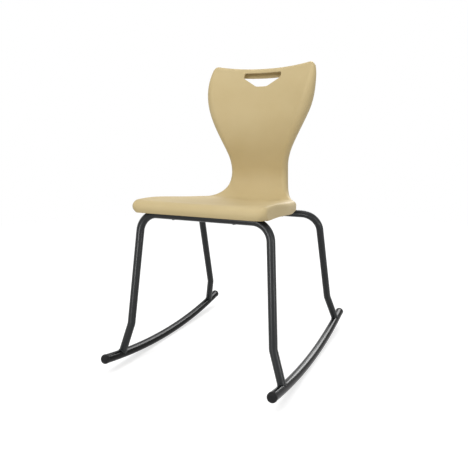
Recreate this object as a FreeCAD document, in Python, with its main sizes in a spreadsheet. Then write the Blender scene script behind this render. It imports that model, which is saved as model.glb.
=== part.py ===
# Rocking school chair: a moulded seat shell carried on two bent tube arches,
# which stand on a pair of curved rocker runners with plugged ends.
# Millimetres, Z up, the sitter faces -Y. The floor is Z = 0 and the runners touch it at Y = 0.
import FreeCAD, Part
import Sketcher
import math
import os

X_AXIS = FreeCAD.Vector(1, 0, 0)
Y_AXIS = FreeCAD.Vector(0, 1, 0)
Z_AXIS = FreeCAD.Vector(0, 0, 1)
ORIGIN = FreeCAD.Vector(0, 0, 0)

SIZES = {
    # leg arches and the rails between them
    "leg_tube_diameter": 22.2,
    "leg_tube_wall": 1.6,
    "front_bar_height": 438.5,
    "front_bar_reach": 212.5,
    "front_shoulder_width": 380.0,
    "front_bend_radius": 52.0,
    "front_knee_width": 430.0,
    "front_knee_height": 125.0,
    "front_foot_reach": 256.5,
    "rear_bar_height": 409.7,
    "rear_bar_reach": 151.0,
    "rear_shoulder_width": 415.6,
    "rear_bend_radius": 54.0,
    "rear_knee_width": 441.4,
    "rear_knee_height": 121.0,
    "rear_foot_reach": 274.5,
    "knee_bend_radius": 28.0,
    "rail_spacing": 180.0,
    # rocker runners
    "runner_tube_diameter": 25.4,
    "runner_tube_wall": 2.0,
    "runner_arc_radius": 1695.0,
    "runner_tube_length": 658.0,
    "runner_track": 490.0,
    # runner end caps
    "cap_step": 0.5,
    "cap_land": 3.0,
    "cap_dome_height": 8.0,
    "cap_plug_length": 24.0,
    "cap_plug_clearance": 0.5,
    "cap_plug_bevel": 2.0,
    "cap_rib_height": 0.4,
    "cap_rib_length": 2.0,
    "cap_rib_set": 6.0,
    "cap_rib_span": 12.0,
    # saddles that join the rails to the shell
    "saddle_thickness": 3.0,
    "saddle_length": 34.0,
    "saddle_wing": 40.0,
    "saddle_corner_radius": 6.0,
    "saddle_fit": 0.1,
    "saddle_set": 62.0,
    "saddle_skirt": 5.0,
    "screw_offset": 26.0,
    "screw_diameter": 6.0,
    "screw_length": 20.0,
    "screw_head_diameter": 12.0,
    "screw_head_height": 4.0,
    "screw_head_round": 3.0,
    "screw_point_bevel": 2.0,
    "screw_clearance": 0.4,
    "washer_diameter": 16.0,
    "washer_thickness": 1.5,
    # moulded seat shell
    "shell_wall": 4.5,
    "least_inner_roll": 1.0,
    "least_skirt": 0.5,
    "seat_lift": 37.5,
    "seat_overhang": 58.0,
    "seat_width": 384.0,
    "seat_dish": 6.0,
    "seat_rim_roll": 13.0,
    "seat_rim_depth": 31.0,
    "lip_radius": 33.0,
    "lip_shortfall": 5.0,
    "neck_reach": 189.0,
    "neck_width": 194.0,
    "neck_rim_depth": 24.0,
    "seat_bend_radius": 80.0,
    "lumbar_height": 667.0,
    "lumbar_reach": 138.0,
    "lumbar_radius": 235.0,
    "back_width": 360.0,
    "back_wing_radius": 440.0,
    "back_rim_roll": 20.0,
    "back_rim_depth": 28.0,
    "crest_height": 861.0,
    "crest_reach": 203.5,
    "crest_radius": 14.0,
    "crest_rise": 8.5,
    "crest_flange": 11.0,
    "crest_rim_roll": 11.5,
    "crest_clearance": 1.5,
    # hand-hold through the top of the back
    "grip_width": 125.0,
    "grip_end_height": 18.0,
    "grip_height": 46.0,
    "grip_floor_width": 36.0,
    "grip_corner_radius": 6.0,
    "grip_floor_radius": 20.0,
    "grip_set": 4.0,
    # bosses and ribs under the seat
    "boss_diameter": 20.0,
    "boss_bore_depth": 18.0,
    "boss_fit": 0.1,
    "rib_thickness": 3.0,
    "rib_length": 64.0,
    "rib_step": 4.0,
}

# Shape of the shell along its centre line. Each stretch names the size that it follows, and then
# gives pairs of a place along the stretch and a share of that size there.
WIDTH_SHARES = {
    "lip": ("seat_width", ((0.0, 0.96), (0.4, 0.988), (0.7, 1.002), (1.0, 1.003))),
    "seat": ("seat_width", ((0.33, 0.998), (0.61, 0.97), (0.83, 0.908), (1.0, 0.83))),
    "bend": ("neck_width", ((0.18, 1.48), (0.35, 1.275), (0.55, 1.085), (0.75, 1.005), (1.0, 0.995))),
    "neck": ("neck_width", ((0.5, 1.035), (1.0, 1.125))),
    "lumbar": ("back_width", ((0.35, 0.722), (0.75, 0.861), (1.0, 0.934))),
    "upper": ("back_width", ((0.3, 0.986), (0.6, 1.0), (1.0, 0.962))),
    "crest": ("back_width", ((0.5, 0.935), (1.0, 0.915))),
    "flange": ("back_width", ((1.0, 0.89),)),
}
# Radius of the rolled rim.
ROLL_SHARES = {
    "lip": ("seat_rim_roll", ((0.0, 0.75), (1.0, 0.8))),
    "seat": ("seat_rim_roll", ((0.5, 1.0), (1.0, 1.0))),
    "neck": ("back_rim_roll", ((0.0, 0.75),)),
    "lumbar": ("back_rim_roll", ((0.5, 1.0),)),
    "upper": ("back_rim_roll", ((0.5, 0.95),)),
    "crest": ("crest_rim_roll", ((0.0, 1.0), (0.5, 0.95))),
    "flange": ("crest_rim_roll", ((1.0, 0.8),)),
}
# Depth of the whole rim below the edge of the sheet.
DEPTH_SHARES = {
    "lip": ("seat_rim_depth", ((0.0, 0.9), (1.0, 1.1))),
    "seat": ("seat_rim_depth", ((0.15, 1.12), (0.38, 1.05), (0.66, 0.95), (0.9, 0.8))),
    "bend": ("neck_rim_depth", ((0.4, 1.0),)),
    "neck": ("neck_rim_depth", ((0.5, 1.0),)),
    "lumbar": ("back_rim_depth", ((0.6, 1.0),)),
    "upper": ("back_rim_depth", ((0.45, 0.97),)),
    "crest": ("crest_rim_depth", ((0.0, 1.0), (0.5, 1.0))),
    "flange": ("crest_rim_depth", ((1.0, 0.8),)),
}
# How far the side edges stand proud of the middle: on the seat as shares of the dish, and on the
# back as shares of the bow that its wing radius gives.
DISH_SHARES = {
    "lip": ((0.0, 0.2), (1.0, 0.6)),
    "seat": ((0.15, 1.15), (0.35, 1.4), (0.6, 1.25), (0.8, 1.15), (1.0, 1.25)),
    "bend": ((0.5, 1.4),),
}
BOW_SHARES = {
    "neck": ((0.0, 1.0), (0.5, 1.0)),
    "lumbar": ((0.0, 1.0), (0.5, 1.08)),
    "upper": ((0.0, 1.18), (0.5, 1.12)),
    "crest": ((0.0, 0.68),),
    "flange": ((0.0, 0.68), (1.0, 0.68)),
}
# Rows of the shell's grid in each stretch of its centre line.
GRID_ROWS = {
    "lip": 4,
    "seat": 7,
    "bend": 5,
    "neck": 2,
    "lumbar": 3,
    "upper": 6,
    "crest": 5,
    "flange": 1,
}
# Stretches whose rows crowd towards both ends.
EASED = ("seat", "upper")
SHEET_COLUMNS = 4
RIM_COLUMNS = 5
CAP_RIBS = 2


def derive(given):
    """Add the sizes that follow from the driving ones."""
    s = dict(given)
    s["leg_radius"] = s["leg_tube_diameter"] / 2
    s["leg_bore"] = s["leg_radius"] - s["leg_tube_wall"]
    s["runner_radius"] = s["runner_tube_diameter"] / 2
    s["runner_bore"] = s["runner_radius"] - s["runner_tube_wall"]
    s["runner_half_track"] = s["runner_track"] / 2
    s["runner_axis_height"] = s["runner_arc_radius"] + s["runner_radius"]
    s["runner_angle"] = math.degrees(s["runner_tube_length"] / s["runner_arc_radius"])
    for end in ("front", "rear"):
        reach = s[f"{end}_foot_reach"]
        drop_of_arc = s["runner_arc_radius"] - math.sqrt(s["runner_arc_radius"] ** 2 - reach ** 2)
        foot_height = s["runner_radius"] + drop_of_arc
        drop = s[f"{end}_bar_height"] - foot_height
        run = reach - s[f"{end}_bar_reach"]
        slant = math.hypot(drop, run) / drop
        s[f"{end}_lean"] = math.degrees(math.atan2(run, drop))
        s[f"{end}_shoulder_half"] = s[f"{end}_shoulder_width"] / 2
        s[f"{end}_knee_half"] = s[f"{end}_knee_width"] / 2
        s[f"{end}_knee_drop"] = (s[f"{end}_bar_height"] - s[f"{end}_knee_height"]) * slant
        s[f"{end}_foot_drop"] = drop * slant
    rise = s["front_bar_height"] - s["rear_bar_height"]
    run = s["front_bar_reach"] + s["rear_bar_reach"]
    s["rail_slope"] = math.degrees(math.atan2(rise, run))
    s["rail_length"] = math.hypot(rise, run)
    s["cap_head_radius"] = s["runner_radius"] + s["cap_step"]
    s["cap_plug_radius"] = s["runner_bore"] - s["cap_plug_clearance"]
    s["cap_height"] = s["cap_land"] + s["cap_dome_height"]
    s["cap_plug_tip"] = s["cap_plug_radius"] - s["cap_plug_bevel"]
    s["cap_plug_shoulder"] = s["cap_plug_length"] - s["cap_plug_bevel"]
    s["cap_rib_root"] = s["cap_plug_radius"] - s["cap_rib_height"]
    s["cap_rib_crest"] = s["cap_plug_radius"] + s["cap_rib_height"]
    s["cap_rib_foot"] = s["cap_rib_set"] + s["cap_rib_length"]
    s["saddle_bore"] = s["leg_radius"] + s["saddle_fit"]
    s["saddle_top"] = s["saddle_bore"] + s["saddle_thickness"]
    s["screw_radius"] = s["screw_diameter"] / 2
    s["screw_hole"] = s["screw_radius"] + s["screw_clearance"]
    s["screw_point"] = s["screw_radius"] - s["screw_point_bevel"]
    s["screw_bevel_start"] = s["screw_length"] - s["screw_point_bevel"]
    s["screw_head_radius"] = s["screw_head_diameter"] / 2
    s["washer_radius"] = s["washer_diameter"] / 2
    s["crest_rim_depth"] = s["crest_radius"] - s["crest_clearance"]
    s["grip_half"] = s["grip_width"] / 2
    s["grip_floor_half"] = s["grip_floor_width"] / 2
    wing = s["back_wing_radius"] - math.sqrt(s["back_wing_radius"] ** 2 - s["grip_half"] ** 2)
    s["grip_cut_depth"] = wing + s["crest_radius"]
    s["boss_radius"] = s["boss_diameter"] / 2
    s["boss_bore_radius"] = s["screw_radius"] + s["boss_fit"]
    out = (s["rail_spacing"] - 2 * s["screw_offset"]) / s["seat_width"]
    s["boss_height"] = s["seat_lift"] - s["shell_wall"] / 2 + s["seat_dish"] * out ** 2 - s["saddle_top"]
    s["rib_height"] = s["boss_height"] - s["rib_step"]
    return s


def make_sheet(doc, s):
    """Write the sizes into a spreadsheet, one alias to a row."""
    sheet = doc.addObject("Spreadsheet::Sheet", "Sizes")
    for row, (name, value) in enumerate(s.items(), start=1):
        sheet.set(f"A{row}", name)
        sheet.set(f"B{row}", repr(float(value)))
        sheet.setAlias(f"B{row}", name)
    doc.recompute()


def turned(base, axis=X_AXIS, degrees=0):
    return FreeCAD.Placement(base, FreeCAD.Rotation(axis, degrees))


def new_body(doc, label, placement=None):
    body = doc.addObject("PartDesign::Body", label)
    body.Label = label
    if placement:
        body.Placement = placement
    return body


def origin_plane(body, role):
    return next(f for f in body.Origin.OriginFeatures if f.Role == role)


def new_sketch(body, name, plane):
    sketch = body.newObject("Sketcher::SketchObject", name)
    sketch.AttachmentSupport = (origin_plane(body, plane), [""])
    sketch.MapMode = "FlatFace"
    return sketch


def hold(sketch, s, kind, name, *places):
    """Add a constraint that follows a named size; a leading minus sign turns it round."""
    value = -s[name[1:]] if name.startswith("-") else s[name]
    reference = name.replace("-", "-Sizes.") if name.startswith("-") else f"Sizes.{name}"
    index = sketch.addConstraint(Sketcher.Constraint(kind, *places, value))
    sketch.setExpression(f"Constraints[{index}]", reference)


def ring(sketch, s, centre, names):
    """Draw concentric circles whose radii are named sizes; centre is a pair of named sizes or zeros."""
    x, y = (named(s, name) for name in centre)
    first = None
    for name in names:
        circle = sketch.addGeometry(Part.Circle(FreeCAD.Vector(x, y, 0), Z_AXIS, s[name]), False)
        hold(sketch, s, "Radius", name, circle)
        if first is None:
            first = circle
            pin(sketch, s, circle, 3, centre)
        else:
            sketch.addConstraint(Sketcher.Constraint("Coincident", first, 3, circle, 3))


def pin(sketch, s, geometry, vertex, place):
    """Hold a point at a place given as two named sizes, where None stands for zero."""
    if place == (None, None):
        sketch.addConstraint(Sketcher.Constraint("Coincident", geometry, vertex, -1, 1))
        return
    for kind, line, name in (("DistanceX", -2, place[0]), ("DistanceY", -1, place[1])):
        if name is None:
            sketch.addConstraint(Sketcher.Constraint("PointOnObject", geometry, vertex, line))
        else:
            hold(sketch, s, kind, name, -1, 1, geometry, vertex)


def turns_left(centre, start, end):
    return (start - centre).cross(end - centre).z > 0


def rounded_line(sketch, s, corners, radii, closed=False):
    """Draw straight runs through named corners, with a tangent arc of a named radius at each bend."""
    def at(corner):
        return FreeCAD.Vector(*(named(s, name) for name in corner), 0)

    count = len(corners)
    points = [sketch.addGeometry(Part.Point(at(c)), True) for c in corners]
    for point, corner in zip(points, corners):
        pin(sketch, s, point, 1, corner)
    bends = [i for i in range(count) if radii[i]]
    arcs = {}
    cuts = {}
    for i in bends:
        here = at(corners[i])
        back = (at(corners[i - 1]) - here).normalize()
        ahead = (at(corners[(i + 1) % count]) - here).normalize()
        half = back.getAngle(ahead) / 2
        radius = s[radii[i]]
        set_back = radius / math.tan(half)
        centre = here + (back + ahead).normalize() * (radius / math.sin(half))
        start = here + back * set_back
        end = here + ahead * set_back
        first, last = (start, end) if turns_left(centre, start, end) else (end, start)
        circle = Part.Circle(centre, Z_AXIS, radius)
        sweep = (circle.parameter(first), circle.parameter(last))
        arcs[i] = sketch.addGeometry(Part.ArcOfCircle(circle, *sweep), False)
        cuts[i] = (start, end)
    runs = count if closed else count - 1
    lines = []
    for i in range(runs):
        j = (i + 1) % count
        start = cuts[i][1] if i in cuts else at(corners[i])
        end = cuts[j][0] if j in cuts else at(corners[j])
        lines.append(sketch.addGeometry(Part.LineSegment(start, end), False))
    for i, arc in arcs.items():
        before = lines[i - 1]
        after = lines[i]
        starts_here = (sketch.Geometry[arc].StartPoint - cuts[i][0]).Length
        ends_here = (sketch.Geometry[arc].EndPoint - cuts[i][0]).Length
        near, far = (1, 2) if starts_here < ends_here else (2, 1)
        sketch.addConstraint(Sketcher.Constraint("Tangent", before, 2, arc, near))
        sketch.addConstraint(Sketcher.Constraint("Tangent", arc, far, after, 1))
        hold(sketch, s, "Radius", radii[i], arc)
    for i, line in enumerate(lines):
        for k, end in ((i, 1), ((i + 1) % count, 2)):
            if k in arcs:
                sketch.addConstraint(Sketcher.Constraint("PointOnObject", points[k], 1, line))
            else:
                sketch.addConstraint(Sketcher.Constraint("Coincident", points[k], 1, line, end))
    return lines, arcs


def named(s, name):
    if name is None:
        return 0
    return -s[name[1:]] if name.startswith("-") else s[name]


def pad(body, sketch, name, length):
    feature = body.newObject("PartDesign::Pad", name)
    feature.Profile = sketch
    feature.Midplane = True
    feature.setExpression("Length", f"Sizes.{length}")
    sketch.Visibility = False
    return feature


def revolve(body, sketch, name, axis, angle=None):
    feature = body.newObject("PartDesign::Revolution", name)
    feature.Profile = sketch
    feature.ReferenceAxis = (sketch, [axis])
    if angle:
        feature.Midplane = True
        feature.setExpression("Angle", f"Sizes.{angle}")
    sketch.Visibility = False
    return feature


def finish(doc, kind, label, **links):
    """Add a boolean or group whose inputs are kept but not handed out."""
    result = doc.addObject(kind, label)
    result.Label = label
    for name, value in links.items():
        setattr(result, name, value)
    return result


# Bent leg arches

def arch_tube(doc, s, end, side):
    """One bent tube: half of it follows a path, and the other half is its mirror image."""
    base = FreeCAD.Vector(0, side * s[f"{end}_bar_reach"], s[f"{end}_bar_height"])
    body = new_body(doc, f"{end}_arch_tube", turned(base, X_AXIS, side * s[f"{end}_lean"]))
    path = new_sketch(body, f"{end}_arch_path", "XZ_Plane")
    corners = (
        (None, None),
        (f"{end}_shoulder_half", None),
        (f"{end}_knee_half", f"-{end}_knee_drop"),
        ("runner_half_track", f"-{end}_foot_drop"),
    )
    rounded_line(path, s, corners, (None, f"{end}_bend_radius", "knee_bend_radius", None))
    section = new_sketch(body, f"{end}_arch_section", "YZ_Plane")
    ring(section, s, (None, None), ("leg_radius", "leg_bore"))
    doc.recompute()
    pipe = body.newObject("PartDesign::AdditivePipe", f"{end}_arch_sweep")
    pipe.Profile = section
    pipe.Spine = (path, [f"Edge{i + 1}" for i in range(len(path.Shape.Edges))])
    doc.recompute()
    mirror = body.newObject("PartDesign::Mirrored", f"{end}_arch_mirror")
    mirror.Originals = [pipe]
    mirror.MirrorPlane = (origin_plane(body, "YZ_Plane"), [""])
    body.Tip = mirror
    return body


def runner_envelope(doc, s):
    """Outer skin of both runners' arcs, used to cope the feet of the legs."""
    rings = []
    for name, side in (("left", -1), ("right", 1)):
        torus = doc.addObject("Part::Torus", f"{name}_runner_envelope")
        torus.setExpression("Radius1", "Sizes.runner_arc_radius")
        torus.setExpression("Radius2", "Sizes.runner_radius")
        centre = FreeCAD.Vector(side * s["runner_half_track"], 0, s["runner_axis_height"])
        torus.Placement = turned(centre, Y_AXIS, 90)
        rings.append(torus)
    return finish(doc, "Part::Compound", "runner_envelope", Links=rings)


def leg_arches(doc, s):
    envelope = runner_envelope(doc, s)
    arches = []
    for end, side in (("front", -1), ("rear", 1)):
        tube = arch_tube(doc, s, end, side)
        arches.append(finish(doc, "Part::Cut", f"{end}_leg_arch", Base=tube, Tool=envelope))
    return arches


# Rails between the arches

def rail_frame(s, x=0, along=0, above=0):
    """Placement on a rail: Y runs back along it, Z stands square to it."""
    slope = turned(FreeCAD.Vector(0, -s["front_bar_reach"], s["front_bar_height"]), X_AXIS, -s["rail_slope"])
    return slope.multiply(turned(FreeCAD.Vector(x, along, above)))


def seat_rails(doc, s):
    bars = []
    for end, side in (("front", -1), ("rear", 1)):
        bar = doc.addObject("Part::Cylinder", f"{end}_bar_envelope")
        bar.setExpression("Radius", "Sizes.leg_radius")
        bar.setExpression("Height", "Sizes.front_shoulder_width")
        start = FreeCAD.Vector(-s["front_shoulder_half"], side * s[f"{end}_bar_reach"], s[f"{end}_bar_height"])
        bar.Placement = turned(start, Y_AXIS, 90)
        bars.append(bar)
    envelope = finish(doc, "Part::Compound", "bar_envelope", Links=bars)
    rails = []
    for name, side in (("left", -1), ("right", 1)):
        middle = rail_frame(s, side * s["rail_spacing"] / 2, s["rail_length"] / 2)
        body = new_body(doc, f"{name}_rail_tube", middle)
        section = new_sketch(body, f"{name}_rail_section", "XZ_Plane")
        ring(section, s, (None, None), ("leg_radius", "leg_bore"))
        pad(body, section, f"{name}_rail_length", "rail_length")
        rails.append(finish(doc, "Part::Cut", f"{name}_seat_rail", Base=body, Tool=envelope))
    return rails


# Saddles, screws and washers

def saddle_stations(s):
    """Name, side and place along the rail of the four saddles."""
    stations = []
    for end, along in (("front", s["saddle_set"]), ("rear", s["rail_length"] - s["saddle_set"])):
        for name, side in (("left", -1), ("right", 1)):
            stations.append((f"{end}_{name}", side, along))
    return stations


def screw_place(s, side, along, above):
    x = side * (s["rail_spacing"] / 2 - s["screw_offset"])
    return rail_frame(s, x, along, above)


def opposite(name):
    """The same named size on the other side of the axis."""
    return name[1:] if name.startswith("-") else f"-{name}"


def saddle(doc, s, name, side, along):
    """Pressed strap over the rail, with a flat wing towards the middle of the seat."""
    body = new_body(doc, f"{name}_saddle", rail_frame(s, side * s["rail_spacing"] / 2, along))
    wing, top, bore = (n if side < 0 else f"-{n}" for n in ("saddle_wing", "saddle_top", "saddle_bore"))
    profile = new_sketch(body, f"{name}_saddle_profile", "XZ_Plane")
    corners = (
        (wing, "saddle_top"),
        (opposite(top), "saddle_top"),
        (opposite(top), "-saddle_skirt"),
        (opposite(bore), "-saddle_skirt"),
        (opposite(bore), "saddle_bore"),
        (wing, "saddle_bore"),
    )
    rounded_line(profile, s, corners, (None, "saddle_top", None, None, "saddle_bore", None), closed=True)
    strip = pad(body, profile, f"{name}_saddle_strip", "saddle_length")
    doc.recompute()
    spot = new_sketch(body, f"{name}_saddle_hole_place", "XY_Plane")
    ring(spot, s, ("screw_offset" if side < 0 else "-screw_offset", None), ("screw_hole",))
    hole = body.newObject("PartDesign::Pocket", f"{name}_saddle_hole")
    hole.Profile = spot
    hole.Type = "ThroughAll"
    hole.Midplane = True
    spot.Visibility = False
    doc.recompute()
    tip = named(s, wing)
    ends = [
        f"Edge{i + 1}" for i, edge in enumerate(hole.Shape.Edges)
        if all(math.isclose(v.Point.x, tip) for v in edge.Vertexes)
        and math.isclose(edge.Length, s["saddle_thickness"])
    ]
    corner = body.newObject("PartDesign::Fillet", f"{name}_saddle_corners")
    corner.Base = (hole, ends)
    corner.setExpression("Radius", "Sizes.saddle_corner_radius")
    return body


def screw(doc, s, name, place):
    """Pan-head screw standing on its point, turned about its own axis."""
    body = new_body(doc, name, place)
    profile = new_sketch(body, f"{name}_profile", "XZ_Plane")
    corners = (
        (None, "-screw_head_height"),
        ("screw_head_radius", "-screw_head_height"),
        ("screw_head_radius", None),
        ("screw_radius", None),
        ("screw_radius", "screw_bevel_start"),
        ("screw_point", "screw_length"),
        (None, "screw_length"),
    )
    radii = (None, "screw_head_round", None, None, None, None, None)
    rounded_line(profile, s, corners, radii, closed=True)
    revolve(body, profile, f"{name}_turned", "V_Axis")
    return body


def washer(doc, s, name, place):
    body = new_body(doc, name, place)
    section = new_sketch(body, f"{name}_section", "XY_Plane")
    ring(section, s, (None, None), ("washer_radius", "screw_hole"))
    pad(body, section, f"{name}_pad", "washer_thickness")
    return body


def seat_fixings(doc, s):
    """Four saddles, and the screws and washers that pull the shell's bosses down on them."""
    screws = []
    washers = []
    saddles = []
    for name, side, along in saddle_stations(s):
        saddles.append(saddle(doc, s, name, side, along))
        under = s["saddle_bore"] - s["washer_thickness"]
        middle = s["saddle_bore"] - s["washer_thickness"] / 2
        screws.append(screw(doc, s, f"{name}_screw", screw_place(s, side, along, under)))
        washers.append(washer(doc, s, f"{name}_washer", screw_place(s, side, along, middle)))
    groups = [
        finish(doc, "Part::Compound", "seat_screws", Links=screws),
        finish(doc, "Part::Compound", "seat_washers", Links=washers),
    ]
    return saddles + groups


# Rocker runners and their end caps

def runner(doc, s, name, side):
    """Round tube rolled to one long arc, swept about the centre of that arc."""
    body = new_body(doc, f"{name}_runner")
    across = "runner_half_track" if side > 0 else "-runner_half_track"
    section = new_sketch(body, f"{name}_runner_section", "XZ_Plane")
    ring(section, s, (across, "runner_radius"), ("runner_radius", "runner_bore"))
    inner = FreeCAD.Vector(0, s["runner_axis_height"], 0)
    outer = FreeCAD.Vector(side * s["runner_half_track"], s["runner_axis_height"], 0)
    axis = section.addGeometry(Part.LineSegment(inner, outer), True)
    section.addConstraint(Sketcher.Constraint("Horizontal", axis))
    pin(section, s, axis, 1, (None, "runner_axis_height"))
    hold(section, s, "DistanceX", across, -1, 1, axis, 2)
    revolve(body, section, f"{name}_runner_arc", "Axis0", "runner_angle")
    return body


def end_cap(doc, s, name, side, end):
    """Domed head on a plug with gripping ribs, turned about the tube's own axis."""
    half_angle = math.radians(s["runner_angle"]) / 2
    arc = s["runner_arc_radius"]
    seat = FreeCAD.Vector(
        side * s["runner_half_track"],
        end * arc * math.sin(half_angle),
        s["runner_axis_height"] - arc * math.cos(half_angle),
    )
    outward = FreeCAD.Vector(0, end * math.cos(half_angle), math.sin(half_angle))
    body = new_body(doc, name, FreeCAD.Placement(seat, FreeCAD.Rotation(Z_AXIS, outward)))
    profile = new_sketch(body, f"{name}_profile", "XZ_Plane")
    corners = (
        (None, "-cap_plug_length"),
        ("cap_plug_tip", "-cap_plug_length"),
        ("cap_plug_radius", "-cap_plug_shoulder"),
        ("cap_plug_radius", None),
        ("cap_head_radius", None),
        ("cap_head_radius", "cap_height"),
        (None, "cap_height"),
    )
    radii = (None, None, None, None, None, "cap_dome_height", None)
    rounded_line(profile, s, corners, radii, closed=True)
    revolve(body, profile, f"{name}_turned", "V_Axis")
    doc.recompute()
    rib_section = new_sketch(body, f"{name}_rib_section", "XZ_Plane")
    barb = (
        ("cap_rib_root", "-cap_rib_set"),
        ("cap_rib_crest", "-cap_rib_set"),
        ("cap_rib_root", "-cap_rib_foot"),
    )
    rounded_line(rib_section, s, barb, (None, None, None), closed=True)
    rib = body.newObject("PartDesign::Revolution", f"{name}_rib")
    rib.Profile = rib_section
    rib.ReferenceAxis = (rib_section, ["V_Axis"])
    rib_section.Visibility = False
    doc.recompute()
    ribs = body.newObject("PartDesign::LinearPattern", f"{name}_ribs")
    ribs.Originals = [rib]
    ribs.Direction = (origin_plane(body, "Z_Axis"), [""])
    ribs.Reversed = True
    ribs.setExpression("Length", "Sizes.cap_rib_span")
    ribs.Occurrences = CAP_RIBS
    body.Tip = ribs
    return body


def rockers(doc, s):
    runners = []
    caps = []
    for name, side in (("left", -1), ("right", 1)):
        runners.append(runner(doc, s, name, side))
    for place, end in (("front", -1), ("rear", 1)):
        for name, side in (("left", -1), ("right", 1)):
            caps.append(end_cap(doc, s, f"{place}_{name}_cap", side, end))
    return runners + caps


# Moulded seat shell

def straight(start, end):
    """A straight stretch of the centre line: its length, and the place and heading at a share of it."""
    heading = (end - start).normalize()

    def at(share):
        return start + (end - start) * share, heading

    return (end - start).Length, at


def swing(centre, start, heading, turn):
    """A stretch bent round a centre by a turn in radians, left turns being positive."""
    def at(share):
        rotation = FreeCAD.Rotation(X_AXIS, math.degrees(turn * share))
        return centre + rotation.multVec(start - centre), rotation.multVec(heading)

    return abs(turn) * (start - centre).Length, at


def on_seat_line(s, reach):
    """Point of the seat's middle line at a distance behind the middle of the runners."""
    slope = math.radians(s["rail_slope"])
    start = rail_frame(s, 0, 0, s["seat_lift"]).Base
    return FreeCAD.Vector(0, reach, start.z - (reach - start.y) * math.tan(slope))


def centre_line(s):
    """Middle line of the sitting face, from the underside of the front lip to the back's flange."""
    front = -s["front_bar_reach"] - s["seat_overhang"]
    lip = on_seat_line(s, front)
    neck = on_seat_line(s, s["neck_reach"])
    lumbar = FreeCAD.Vector(0, s["lumbar_reach"], s["lumbar_height"])
    lean = math.atan2(s["crest_reach"] - s["lumbar_reach"], s["crest_height"] - s["lumbar_height"])
    up = FreeCAD.Vector(0, math.sin(lean), math.cos(lean))
    drop = s["crest_radius"] * (1 - math.sin(lean))
    top = lumbar + up * ((s["crest_height"] - drop - s["lumbar_height"]) / math.cos(lean))
    corners = [lip - Z_AXIS * s["lip_radius"], lip, neck, lumbar, top]
    bends = (("lip", "lip_radius"), ("bend", "seat_bend_radius"), ("lumbar", "lumbar_radius"))
    runs = ("", "seat", "neck", "upper")
    stretches = {}
    here = None
    for i, (name, radius) in enumerate(bends, start=1):
        before = (corners[i] - corners[i - 1]).normalize()
        after = (corners[i + 1] - corners[i]).normalize()
        turn = math.copysign(before.getAngle(after), before.cross(after).x)
        start = corners[i] - before * (s[radius] * math.tan(abs(turn) / 2))
        centre = start + X_AXIS.cross(before) * math.copysign(s[radius], turn)
        if here:
            stretches[runs[i - 1]] = straight(here, start)
        if name == "lip":
            short = math.asin(s["lip_shortfall"] / s["lip_radius"])
            opening = swing(centre, start, before, math.copysign(short, turn))
            start, before = opening[1](1)
            turn -= math.copysign(short, turn)
        stretches[name] = swing(centre, start, before, turn)
        here = stretches[name][1](1)[0]
    stretches["upper"] = straight(here, top)
    behind = -X_AXIS.cross(up)
    stretches["crest"] = swing(top + behind * s["crest_radius"], top, up, -math.pi)
    foot = top + behind * (2 * s["crest_radius"])
    stretches["flange"] = straight(foot, foot - up * s["crest_flange"])
    return stretches


def stations(stretches):
    """Distance along the centre line at which each stretch starts."""
    starts = {}
    run = 0
    for name in GRID_ROWS:
        starts[name] = run
        run += stretches[name][0]
    return starts


def smooth(points):
    """A smooth curve through pairs of distance and value, as a function of distance."""
    curve = Part.BSplineCurve()
    places = [place for place, value in points]
    curve.interpolate(Points=[FreeCAD.Vector(place, value, 0) for place, value in points], Parameters=places)
    return lambda place: curve.value(place).y


def along_shell(s, stretches):
    """Width, wing height, rim roll and rim depth as functions of the distance along the shell."""
    starts = stations(stretches)

    def distance(name, share):
        return starts[name] + stretches[name][0] * share

    def spread(table):
        """A smooth curve through the sizes of a table."""
        return smooth([
            (distance(name, share), s[size] * value)
            for name, (size, pairs) in table.items()
            for share, value in pairs
        ])

    width = spread(WIDTH_SHARES)
    wings = []
    for name, pairs in DISH_SHARES.items():
        wings += [(distance(name, share), s["seat_dish"] * value) for share, value in pairs]
    for name, pairs in BOW_SHARES.items():
        for share, value in pairs:
            place = distance(name, share)
            bow = (width(place) / 2) ** 2 / (2 * s["back_wing_radius"])
            wings.append((place, bow * value))
    return width, smooth(wings), spread(ROLL_SHARES), spread(DEPTH_SHARES)


def ease(share):
    """Run from zero to one, level at both ends."""
    return share * share * (3 - 2 * share)


def shell_rows(s, stretches):
    """Frame of the shell at each row of its grid: place, facing, wing direction and sizes."""
    width, wing, roll, depth = along_shell(s, stretches)
    starts = stations(stretches)
    up = stretches["upper"][1](1)[1]
    rows = []
    for name, count in GRID_ROWS.items():
        last = name == "flange"
        for step in range(count + last):
            share = step / count
            if name in EASED:
                share = ease(share)
            point, heading = stretches[name][1](share)
            place = starts[name] + stretches[name][0] * share
            facing = X_AXIS.cross(heading)
            on_top = name in ("crest", "flange")
            lifting = X_AXIS.cross(up) if on_top else facing
            rise = 1 if on_top else ease(share) if name == "upper" else 0
            rows.append({
                "place": place,
                "point": point,
                "facing": facing,
                "lifting": lifting,
                "rise": up * (s["crest_rise"] * rise),
                "half_width": width(place) / 2,
                "wing": wing(place),
                "roll": roll(place),
                "depth": depth(place),
            })
    return rows


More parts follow.
